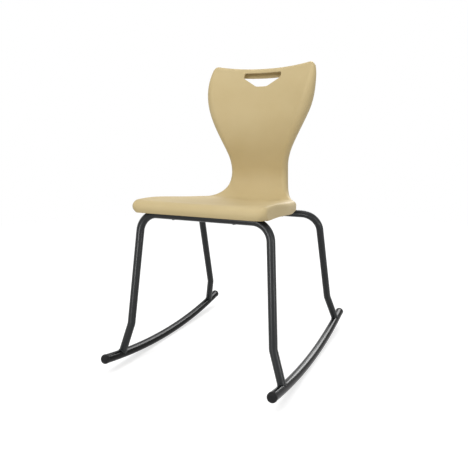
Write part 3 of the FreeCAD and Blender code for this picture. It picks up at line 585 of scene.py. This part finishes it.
def shell_mesh(sizes):
    """Outer face of the moulding, from a flat grid that is bent along and across the shell."""
    stretches = centre_line(sizes)
    sections = [shell_section(sizes, row) for row in shell_rows(sizes, stretches)]
    across = len(sections[0]) - 1
    along = len(sections) - 1
    bm = bmesh.new()
    bmesh.ops.create_grid(bm, x_segments=across, y_segments=along, size=1 / 2)
    for corner in bm.verts:
        column = round((corner.co.x + 1 / 2) * across)
        row = round((corner.co.y + 1 / 2) * along)
        corner.co = sections[row][column]
    bmesh.ops.recalc_face_normals(bm, faces=bm.faces)
    bm.faces.ensure_lookup_table()
    seat = max(bm.faces, key=lambda face: abs(face.normal.z) - abs(face.calc_center_median().x))
    if seat.normal.z < 0:
        bmesh.ops.reverse_faces(bm, faces=bm.faces)
    bm.normal_update()
    cut_grip(bm, sizes, stretches)
    bm.normal_update()
    return bm


def soften(piece, sharpness, width, segments):
    """Round the edges that are sharper than an angle."""
    edges = piece.modifiers.new("edges", "BEVEL")
    edges.limit_method = "ANGLE"
    edges.angle_limit = sharpness
    edges.width = width
    edges.segments = segments


def harden(piece, sizes):
    """Give the moulding its wall and soften the free edges."""
    wall = piece.modifiers.new("wall", "SOLIDIFY")
    wall.thickness = sizes.wall
    wall.offset = -1
    wall.use_even_offset = True
    soften(piece, math.radians(55), sizes.edge_round, 3)


# Node groups shared by the finishes

def new_group(name, inputs, outputs):
    """An empty node group with its sockets, and its two end nodes."""
    group = bpy.data.node_groups.new(name, "ShaderNodeTree")
    for title, kind, value in inputs:
        socket = group.interface.new_socket(name=title, in_out="INPUT", socket_type=kind)
        if value is not None:
            socket.default_value = value
    for title, kind in outputs:
        group.interface.new_socket(name=title, in_out="OUTPUT", socket_type=kind)
    return group, group.nodes.new("NodeGroupInput"), group.nodes.new("NodeGroupOutput")


def noise(tree, vector, scale, detail, rough=0.5):
    """A noise texture whose scale may be a number or another socket."""
    node = tree.nodes.new("ShaderNodeTexNoise")
    node.inputs["Detail"].default_value = detail
    node.inputs["Roughness"].default_value = rough
    tree.links.new(vector, node.inputs["Vector"])
    if isinstance(scale, (int, float)):
        node.inputs["Scale"].default_value = scale
    else:
        tree.links.new(scale, node.inputs["Scale"])
    return node.outputs["Fac"]


def math_node(tree, operation, first, second):
    node = tree.nodes.new("ShaderNodeMath")
    node.operation = operation
    for socket, value in zip(node.inputs, (first, second)):
        if isinstance(value, (int, float)):
            socket.default_value = value
        else:
            tree.links.new(value, socket)
    return node.outputs[0]


def span(tree, value, low, high, new_low, new_high):
    """Map a value from one range to another and hold it there."""
    node = tree.nodes.new("ShaderNodeMapRange")
    for title, number in (("From Min", low), ("From Max", high), ("To Min", new_low), ("To Max", new_high)):
        if isinstance(number, (int, float)):
            node.inputs[title].default_value = number
        else:
            tree.links.new(number, node.inputs[title])
    tree.links.new(value, node.inputs["Value"])
    return node.outputs["Result"]


def tone_group():
    """Two colours that drift into each other in wide, faint clouds."""
    inputs = (
        ("Vector", "NodeSocketVector", None),
        ("Scale", "NodeSocketFloat", 9.0),
        ("Body", "NodeSocketColor", (0.6, 0.5, 0.3, 1)),
        ("Shade", "NodeSocketColor", (0.5, 0.4, 0.2, 1)),
    )
    group, start, end = new_group("colour drift", inputs, (("Colour", "NodeSocketColor"),))
    clouds = noise(group, start.outputs["Vector"], start.outputs["Scale"], 4)
    mix = group.nodes.new("ShaderNodeMix")
    mix.data_type = "RGBA"
    group.links.new(span(group, clouds, 0.32, 0.68, 0, 1), mix.inputs["Factor"])
    group.links.new(start.outputs["Body"], mix.inputs["A"])
    group.links.new(start.outputs["Shade"], mix.inputs["B"])
    group.links.new(mix.outputs["Result"], end.inputs["Colour"])
    return group


def grain_group():
    """Height of a fine surface grain: small cells broken up by noise."""
    inputs = (
        ("Vector", "NodeSocketVector", None),
        ("Scale", "NodeSocketFloat", 900.0),
        ("Softness", "NodeSocketFloat", 0.5),
    )
    group, start, end = new_group("surface grain", inputs, (("Height", "NodeSocketFloat"),))
    fine = noise(group, start.outputs["Vector"], start.outputs["Scale"], 3)
    coarse_scale = math_node(group, "MULTIPLY", start.outputs["Scale"], 0.23)
    coarse = noise(group, start.outputs["Vector"], coarse_scale, 2)
    mix = group.nodes.new("ShaderNodeMix")
    group.links.new(start.outputs["Softness"], mix.inputs["Factor"])
    group.links.new(fine, mix.inputs["A"])
    group.links.new(coarse, mix.inputs["B"])
    group.links.new(mix.outputs["Result"], end.inputs["Height"])
    return group


def polish_group():
    """Roughness that wanders a little round a middle value, as on a handled surface."""
    inputs = (
        ("Vector", "NodeSocketVector", None),
        ("Scale", "NodeSocketFloat", 14.0),
        ("Smoothest", "NodeSocketFloat", 0.4),
        ("Roughest", "NodeSocketFloat", 0.5),
    )
    group, start, end = new_group("uneven polish", inputs, (("Roughness", "NodeSocketFloat"),))
    wide = noise(group, start.outputs["Vector"], start.outputs["Scale"], 5, rough=0.6)
    result = span(group, wide, 0.3, 0.7, start.outputs["Smoothest"], start.outputs["Roughest"])
    group.links.new(result, end.inputs["Roughness"])
    return group


def fleck_group():
    """Mask of small scattered flecks, as in a textured powder coat."""
    inputs = (
        ("Vector", "NodeSocketVector", None),
        ("Scale", "NodeSocketFloat", 1400.0),
        ("Cover", "NodeSocketFloat", 0.35),
    )
    group, start, end = new_group("coat flecks", inputs, (("Mask", "NodeSocketFloat"),))
    cells = group.nodes.new("ShaderNodeTexVoronoi")
    group.links.new(start.outputs["Vector"], cells.inputs["Vector"])
    group.links.new(start.outputs["Scale"], cells.inputs["Scale"])
    near = span(group, cells.outputs["Distance"], 0.05, start.outputs["Cover"], 1, 0)
    group.links.new(near, end.inputs["Mask"])
    return group


def shared_groups():
    """The node groups, built once."""
    makers = {
        "colour drift": tone_group,
        "surface grain": grain_group,
        "uneven polish": polish_group,
        "coat flecks": fleck_group,
    }
    return {name: bpy.data.node_groups.get(name) or make() for name, make in makers.items()}


def place_group(tree, name, vector, values):
    node = tree.nodes.new("ShaderNodeGroup")
    node.node_tree = shared_groups()[name]
    tree.links.new(vector, node.inputs["Vector"])
    for title, value in values.items():
        node.inputs[title].default_value = value
    return node.outputs[0]


def start_material(name):
    """A material with its Principled shader and a vector that follows the object."""
    material = bpy.data.materials.new(name)
    material.use_nodes = True
    tree = material.node_tree
    shader = tree.nodes["Principled BSDF"]
    place = tree.nodes.new("ShaderNodeTexCoord")
    return material, tree, shader, place.outputs["Object"]


def solid(colour):
    return (*colour, 1)


def drift(tree, place, scale, body, shade):
    """A colour that drifts towards a second one."""
    values = {"Scale": scale, "Body": solid(body), "Shade": solid(shade)}
    return place_group(tree, "colour drift", place, values)


def join_finish(tree, shader, place, colour, polish, grain=None, level=None):
    """Join a finish to its shader.

    Polish is a scale with the smoothest and the roughest value, and grain is a scale, a softness
    and a strength.
    """
    scale, smoothest, roughest = polish
    rough = {"Scale": scale, "Smoothest": smoothest, "Roughest": roughest}
    tree.links.new(colour, shader.inputs["Base Color"])
    tree.links.new(place_group(tree, "uneven polish", place, rough), shader.inputs["Roughness"])
    if level is not None:
        shader.inputs["Specular IOR Level"].default_value = level
    if grain:
        scale, softness, strength = grain
        height = place_group(tree, "surface grain", place, {"Scale": scale, "Softness": softness})
        bump = tree.nodes.new("ShaderNodeBump")
        bump.inputs["Strength"].default_value = strength
        bump.inputs["Distance"].default_value = GRAIN_HEIGHT
        tree.links.new(height, bump.inputs["Height"])
        tree.links.new(bump.outputs["Normal"], shader.inputs["Normal"])


def shell_material(colours):
    """Sand-coloured moulded plastic: faint mottle, fine moulded grain and a satin face."""
    material, tree, shader, place = start_material("sand_moulded_plastic")
    tone = drift(tree, place, 7.0, colours.shell, colours.shell_shade)
    join_finish(tree, shader, place, tone, polish=(16.0, 0.50, 0.58), grain=(1100.0, 0.35, 0.22), level=0.3)
    return material


def coat_material(colours):
    """Charcoal powder coat: pale flecks in a dark body, with a soft orange peel."""
    material, tree, shader, place = start_material("charcoal_powder_coat")
    mix = tree.nodes.new("ShaderNodeMix")
    mix.data_type = "RGBA"
    mix.inputs["A"].default_value = solid(colours.legs)
    mix.inputs["B"].default_value = solid(colours.legs_fleck)
    flecks = place_group(tree, "coat flecks", place, {"Scale": 1500.0, "Cover": 0.42})
    tree.links.new(flecks, mix.inputs["Factor"])
    tone = mix.outputs["Result"]
    join_finish(tree, shader, place, tone, polish=(22.0, 0.28, 0.35), grain=(800.0, 0.6, 0.1), level=0.2)
    return material


def gloss_material(colours):
    """Gloss black coat of the runners, with a slight wave in its shine."""
    material, tree, shader, place = start_material("gloss_black_coat")
    tone = drift(tree, place, 30.0, colours.runners, [part * 1.5 for part in colours.runners])
    join_finish(tree, shader, place, tone, polish=(24.0, 0.15, 0.2), grain=(420.0, 0.8, 0.04), level=0.08)
    return material


def cap_material(colours):
    """Matte black plastic of the end caps, with a coarse spark grain."""
    material, tree, shader, place = start_material("matte_black_plastic")
    tone = drift(tree, place, 60.0, colours.caps, [part * 1.6 for part in colours.caps])
    join_finish(tree, shader, place, tone, polish=(60.0, 0.52, 0.64), grain=(1300.0, 0.3, 0.35), level=0.2)
    return material


def zinc_material(colours):
    """Bright zinc plate of the screws and washers."""
    material, tree, shader, place = start_material("bright_zinc_plate")
    tone = drift(tree, place, 160.0, colours.zinc, [part * 0.8 for part in colours.zinc])
    join_finish(tree, shader, place, tone, polish=(240.0, 0.24, 0.4))
    shader.inputs["Metallic"].default_value = 1
    return material


MATERIAL_MAKERS = {
    "sand_moulded_plastic": shell_material,
    "charcoal_powder_coat": coat_material,
    "gloss_black_coat": gloss_material,
    "matte_black_plastic": cap_material,
    "bright_zinc_plate": zinc_material,
}


def material_of(context, name):
    """The finish of that name, made on first use."""
    found = bpy.data.materials.get(name)
    return found or MATERIAL_MAKERS[name](context.scene.chair_colours)


# Bosses and ribs under the seat

def boss_places(fixings):
    """Foot and direction of each screw boss, read from the saddles that carry them."""
    boxes = {}
    for end in ("front", "rear"):
        for side in ("left", "right"):
            boxes[end, side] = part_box(f"{end}_{side}_saddle")
    middles = {key: (low + high) / 2 for key, (low, high) in boxes.items()}
    places = []
    for (end, side), middle in middles.items():
        along = (middles["rear", side] - middles["front", side]).normalized()
        square = X_AXIS.cross(along)
        outside = -1 if side == "left" else 1
        x = outside * (fixings.rail_spacing / 2 - fixings.screw_offset)
        low, high = boxes[end, side]
        top = high.z + along.z * (high.y - low.y) / 2
        places.append((Vector((x, middle.y, top)), along, square))
    return places


def add_boss(bm, fixings, foot, along, square, height):
    """Turn a boss with its bore about the screw's axis."""
    outer = fixings.boss_diameter / 2
    bore = fixings.boss_bore / 2
    deep = fixings.boss_bore_depth
    outline = ((0, deep), (bore, deep), (bore, 0), (outer, 0), (outer, height))
    corners = [bm.verts.new(foot + X_AXIS * radius + square * lift) for radius, lift in outline]
    edges = [bm.edges.new(pair) for pair in zip(corners, corners[1:])]
    bmesh.ops.spin(
        bm, geom=[*corners, *edges], cent=foot, axis=square, angle=2 * math.pi, steps=BOSS_STEPS,
        use_merge=True,
    )


def add_rib(bm, fixings, foot, direction, square, height):
    """A thin tapered rib standing across a boss."""
    made = bmesh.ops.create_cube(bm, size=1)["verts"]
    sideways = direction.cross(square)
    for corner in made:
        at_root = corner.co.z > 0
        thickness = fixings.rib_thickness - (0 if at_root else fixings.rib_draft)
        lift = height if at_root else fixings.rib_step
        run = direction * (corner.co.x * fixings.rib_length)
        corner.co = foot + run + sideways * (corner.co.y * thickness) + square * lift


# Weld beads

def cope_corners(node, inside):
    """Corners of a node's cut end; inside tells which corners lie on the cut."""
    return [corner.co.copy() for corner in NODES[node].data.vertices if inside(corner.co)]


def ring_order(points, axis):
    """Put points in order round their middle, and keep the outermost where two lie in one direction."""
    middle = sum(points, Vector()) / len(points)
    first = axis.orthogonal().normalized()
    second = axis.cross(first).normalized()
    slots = {}
    for point in points:
        arm = point - middle
        angle = math.atan2(arm.dot(second), arm.dot(first))
        far = math.hypot(arm.dot(first), arm.dot(second))
        key = round(angle / BEAD_SLOT)
        if key not in slots or far > slots[key][0]:
            slots[key] = (far, angle, point)
    widest = max(far for far, angle, point in slots.values())
    kept = [(angle, point) for far, angle, point in slots.values() if far > BEAD_REACH * widest]
    return [point for angle, point in sorted(kept, key=lambda item: item[0])]


def bead(name, ring, fixings, material):
    """A rippled weld bead laid along a closed ring of points."""
    curve = bpy.data.curves.new(name, "CURVE")
    curve.dimensions = "3D"
    curve.bevel_depth = fixings.bead_radius
    curve.bevel_resolution = 3
    lengths = [(b - a).length for a, b in zip(ring, ring[1:] + ring[:1])]
    around = sum(lengths)
    ripples = round(around / fixings.ripple_pitch)
    steps = ripples * RIPPLE_STEPS
    spline = curve.splines.new("POLY")
    spline.points.add(steps - 1)
    spline.use_cyclic_u = True
    place = 0
    start = 0
    for step in range(steps):
        run = around * step / steps
        while run > start + lengths[place]:
            start += lengths[place]
            place += 1
        part = (run - start) / lengths[place]
        point = ring[place].lerp(ring[(place + 1) % len(ring)], part)
        spline.points[step].co = (*point, 1)
        swell = fixings.bead_ripple * math.sin(2 * math.pi * step / RIPPLE_STEPS)
        spline.points[step].radius = 1 + swell / fixings.bead_radius
    holder = bpy.data.objects.new(name, curve)
    bpy.context.scene.collection.objects.link(holder)
    mesh = bpy.data.meshes.new_from_object(holder.evaluated_get(bpy.context.evaluated_depsgraph_get()))
    bpy.data.objects.remove(holder)
    bm = bmesh.new()
    bm.from_mesh(mesh)
    bpy.data.meshes.remove(mesh)
    bmesh.ops.remove_doubles(bm, verts=bm.verts, dist=SAME_CORNER)
    bmesh.ops.recalc_face_normals(bm, faces=bm.faces)
    return add_piece(name, bm, material)


def on_runner(fixings, side):
    """Test for corners that lie on the skin of a runner."""
    low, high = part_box(f"{side}_runner")
    x = (low.x + high.x) / 2
    radius = fixings.runner_diameter / 2
    arc = fixings.runner_radius - radius

    def test(corner):
        flat = arc - math.hypot(corner.y, fixings.runner_radius - corner.z)
        return abs(math.hypot(corner.x - x, flat) - radius) < ON_SKIN

    return test


def on_bar(fixings, end):
    """Test for corners that lie on the skin of an arch's cross bar."""
    low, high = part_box(f"{end}_leg_arch")
    radius = fixings.leg_diameter / 2
    y = high.y - radius if end == "front" else low.y + radius
    z = high.z - radius

    def test(corner):
        return abs(math.hypot(corner.y - y, corner.z - z) - radius) < ON_SKIN

    return test


# Operators

class CHAIR_OT_shell(bpy.types.Operator):
    """Mould the seat and back in one piece, with rolled rims and the hand-hold"""

    bl_idname = "chair.shell"
    bl_label = "Moulded Shell"

    def execute(self, context):
        sizes = context.scene.shell_sizes
        material = material_of(context, "sand_moulded_plastic")
        piece = add_piece("moulded_shell", shell_mesh(sizes), material)
        harden(piece, sizes)
        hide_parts("seat_shell")
        return {"FINISHED"}


class CHAIR_OT_bosses(bpy.types.Operator):
    """Stand the screw bosses and their ribs under the seat"""

    bl_idname = "chair.bosses"
    bl_label = "Screw Bosses"

    def execute(self, context):
        sizes = context.scene.shell_sizes
        fixings = context.scene.fixing_sizes
        bm = bmesh.new()
        for foot, along, square in boss_places(fixings):
            under = on_seat_line(sizes, foot.y)
            x = 2 * foot.x / sizes.seat_width
            height = (under - foot).dot(square) - sizes.wall / 2 + sizes.seat_dish * x * x
            add_boss(bm, fixings, foot, along, square, height)
            for direction in (X_AXIS, along):
                add_rib(bm, fixings, foot, direction, square, height)
        bmesh.ops.recalc_face_normals(bm, faces=bm.faces)
        piece = add_piece("screw_bosses", bm, material_of(context, "sand_moulded_plastic"))
        soften(piece, math.radians(40), sizes.edge_round / 3, 2)
        return {"FINISHED"}


class CHAIR_OT_welds(bpy.types.Operator):
    """Lay the weld beads round the feet of the legs and the ends of the rails"""

    bl_idname = "chair.welds"
    bl_label = "Weld Beads"

    def execute(self, context):
        fixings = context.scene.fixing_sizes
        material = material_of(context, "charcoal_powder_coat")
        for end in ("front", "rear"):
            for side in ("left", "right"):
                x_sign = -1 if side == "left" else 1
                lies_on = on_runner(fixings, side)
                corners = cope_corners(f"{end}_leg_arch", lambda co: co.x * x_sign > 0 and lies_on(co))
                bead(f"{end}_{side}_foot_weld", ring_order(corners, Z_AXIS), fixings, material)
                corners = cope_corners(f"{side}_seat_rail", on_bar(fixings, end))
                bead(f"{end}_{side}_rail_weld", ring_order(corners, Y_AXIS), fixings, material)
        return {"FINISHED"}


class NodeCoat:
    """Give one finish to every node whose name has one of the endings."""

    def execute(self, context):
        material = material_of(context, self.finish)
        for node in NODES:
            if node.endswith(self.endings):
                dress(node, material)
        return {"FINISHED"}


class CHAIR_OT_frame_coat(NodeCoat, bpy.types.Operator):
    """Coat the leg arches, the seat rails and the saddles in charcoal"""

    bl_idname = "chair.frame_coat"
    bl_label = "Charcoal Coat"
    finish = "charcoal_powder_coat"
    endings = ("_leg_arch", "_seat_rail", "_saddle")


class CHAIR_OT_runner_coat(NodeCoat, bpy.types.Operator):
    """Coat the two rocker runners in gloss black"""

    bl_idname = "chair.runner_coat"
    bl_label = "Gloss Coat"
    finish = "gloss_black_coat"
    endings = ("_runner",)


class CHAIR_OT_caps(NodeCoat, bpy.types.Operator):
    """Give the four end caps their matte black plastic"""

    bl_idname = "chair.caps"
    bl_label = "End Caps"
    finish = "matte_black_plastic"
    endings = ("_cap",)


class CHAIR_OT_fixings(NodeCoat, bpy.types.Operator):
    """Plate the screws and washers in bright zinc"""

    bl_idname = "chair.fixings"
    bl_label = "Screws and Washers"
    finish = "bright_zinc_plate"
    endings = ("_screws", "_washers")


def floor_material(studio):
    """White floor that keeps a soft shadow and thins out into the white background."""
    material = bpy.data.materials.new("white_floor")
    material.use_nodes = True
    tree = material.node_tree
    shader = tree.nodes["Principled BSDF"]
    shader.inputs["Base Color"].default_value = (0.6, 0.6, 0.6, 1)
    shader.inputs["Roughness"].default_value = 0.9
    shader.inputs["Specular IOR Level"].default_value = 0
    shader.inputs["Emission Color"].default_value = (1, 1, 1, 1)
    tree.links.new(seen_directly(tree, studio.floor_lift), shader.inputs["Emission Strength"])
    place = tree.nodes.new("ShaderNodeTexCoord")
    reach = tree.nodes.new("ShaderNodeVectorMath")
    reach.operation = "LENGTH"
    tree.links.new(place.outputs["Object"], reach.inputs[0])
    near, far = studio.floor_size / 6, studio.floor_size / 2
    tree.links.new(span(tree, reach.outputs["Value"], near, far, 1, 0), shader.inputs["Alpha"])
    return material


def seen_directly(tree, strength):
    """A strength for camera, glossy and transmitted rays, and zero for the rest."""
    path = tree.nodes.new("ShaderNodeLightPath")
    seen = math_node(tree, "MAXIMUM", path.outputs["Is Camera Ray"], path.outputs["Is Glossy Ray"])
    seen = math_node(tree, "MAXIMUM", seen, path.outputs["Is Transmission Ray"])
    return math_node(tree, "MULTIPLY", seen, strength)


def light_world(scene, studio):
    """Even white light, and a white background where the world is seen."""
    world = bpy.data.worlds.new("studio")
    world.use_nodes = True
    tree = world.node_tree
    background = tree.nodes["Background"]
    background.inputs["Color"].default_value = (1, 1, 1, 1)
    extra = seen_directly(tree, 1 - studio.sky)
    tree.links.new(math_node(tree, "ADD", extra, studio.sky), background.inputs["Strength"])
    scene.world = world


def add_lamp(name, place, aim, size, power, shine=()):
    """An area lamp for the whole scene, or one that only adds shine to nodes whose names end alike."""
    lamp = bpy.data.lights.new(name, "AREA")
    lamp.shape = "RECTANGLE"
    lamp.size, lamp.size_y = size
    lamp.energy = power
    holder = bpy.data.objects.new(name, lamp)
    holder.location = place
    holder.visible_camera = False
    holder.rotation_euler = (Vector(aim) - Vector(place)).to_track_quat("-Z", "Y").to_euler()
    bpy.context.scene.collection.objects.link(holder)
    if shine:
        holder.visible_diffuse = False
        lit = bpy.data.collections.new(name)
        for node in NODES:
            if node.endswith(shine):
                lit.objects.link(NODES[node])
        holder.light_linking.receiver_collection = lit


class CHAIR_OT_studio(bpy.types.Operator):
    """Set up the floor, the lamps and the camera"""

    bl_idname = "chair.studio"
    bl_label = "Studio"

    def execute(self, context):
        scene = context.scene
        studio = scene.studio_settings
        bm = bmesh.new()
        bmesh.ops.create_grid(bm, x_segments=2, y_segments=2, size=studio.floor_size / 2)
        mesh = bpy.data.meshes.new("floor")
        bm.to_mesh(mesh)
        bm.free()
        mesh.materials.append(floor_material(studio))
        floor = bpy.data.objects.new("floor", mesh)
        scene.collection.objects.link(floor)
        floor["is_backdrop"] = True
        light_world(scene, studio)
        low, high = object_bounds()
        aim = (low + high) / 2
        low_aim = Vector((aim.x, aim.y, low.z + studio.strip_height))
        add_lamp("key_lamp", (-0.5, -2.3, 2.0), aim, (0.6, 1.4), studio.key)
        add_lamp("top_lamp", (0.2, -0.1, 2.9), aim, (2.2, 1.6), studio.top)
        legs = ("_leg_arch", "_seat_rail")
        add_lamp("left_strip", (-0.2, -1.75, 0.36), low_aim, (0.14, 0.7), studio.strips, shine=legs)
        add_lamp("right_strip", (1.65, -0.5, 0.36), low_aim, (0.12, 0.7), studio.strips / 2, shine=legs)
        add_lamp("runner_lamp", (0.5, 2.3, 1.75), aim, (1.0, 1.8), studio.runner, shine=("_runner",))
        add_lamp("fill_lamp", (1.6, -1.5, 1.0), aim, (0.8, 0.8), studio.fill)
        add_lamp("back_lamp", (-0.3, 2.4, 1.8), aim, (0.7, 1.6), studio.back)
        camera = bpy.data.cameras.new("camera")
        camera.lens = studio.lens
        camera.sensor_width = studio.sensor
        holder = bpy.data.objects.new("camera", camera)
        holder.location = studio.eye
        holder.rotation_euler = Vector(studio.heading).to_track_quat("-Z", "Y").to_euler()
        scene.collection.objects.link(holder)
        scene.camera = holder
        scene.view_settings.view_transform = "Standard"
        return {"FINISHED"}


OPERATORS = (
    CHAIR_OT_shell,
    CHAIR_OT_bosses,
    CHAIR_OT_welds,
    CHAIR_OT_frame_coat,
    CHAIR_OT_runner_coat,
    CHAIR_OT_caps,
    CHAIR_OT_fixings,
    CHAIR_OT_studio,
)


class CHAIR_PT_panel(bpy.types.Panel):
    """Builders and sizes of the rocking chair"""

    bl_idname = "CHAIR_PT_panel"
    bl_label = "Rocking Chair"
    bl_space_type = "VIEW_3D"
    bl_region_type = "UI"
    bl_category = "Rocking Chair"

    def draw(self, context):
        column = self.layout.column()
        for operator in OPERATORS:
            column.operator(operator.bl_idname)
        for holder in SETTINGS:
            group = getattr(context.scene, holder)
            box = self.layout.box()
            for name in group.__annotations__:
                box.prop(group, name)


SETTINGS = {
    "shell_sizes": ShellSizes,
    "fixing_sizes": FixingSizes,
    "chair_colours": FinishColours,
    "studio_settings": StudioSettings,
}


def register():
    for name, group in SETTINGS.items():
        bpy.utils.register_class(group)
        setattr(bpy.types.Scene, name, bpy.props.PointerProperty(type=group))
    for item in (*OPERATORS, CHAIR_PT_panel):
        bpy.utils.register_class(item)


def unregister():
    for item in reversed((*OPERATORS, CHAIR_PT_panel)):
        bpy.utils.unregister_class(item)
    for name, group in reversed(SETTINGS.items()):
        delattr(bpy.types.Scene, name)
        bpy.utils.unregister_class(group)


def main():
    """Build every piece in order."""
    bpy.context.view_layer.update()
    register()
    for operator in OPERATORS:
        family, name = operator.bl_idname.split(".")
        getattr(getattr(bpy.ops, family), name)()


if __name__ == "__main__":
    main()
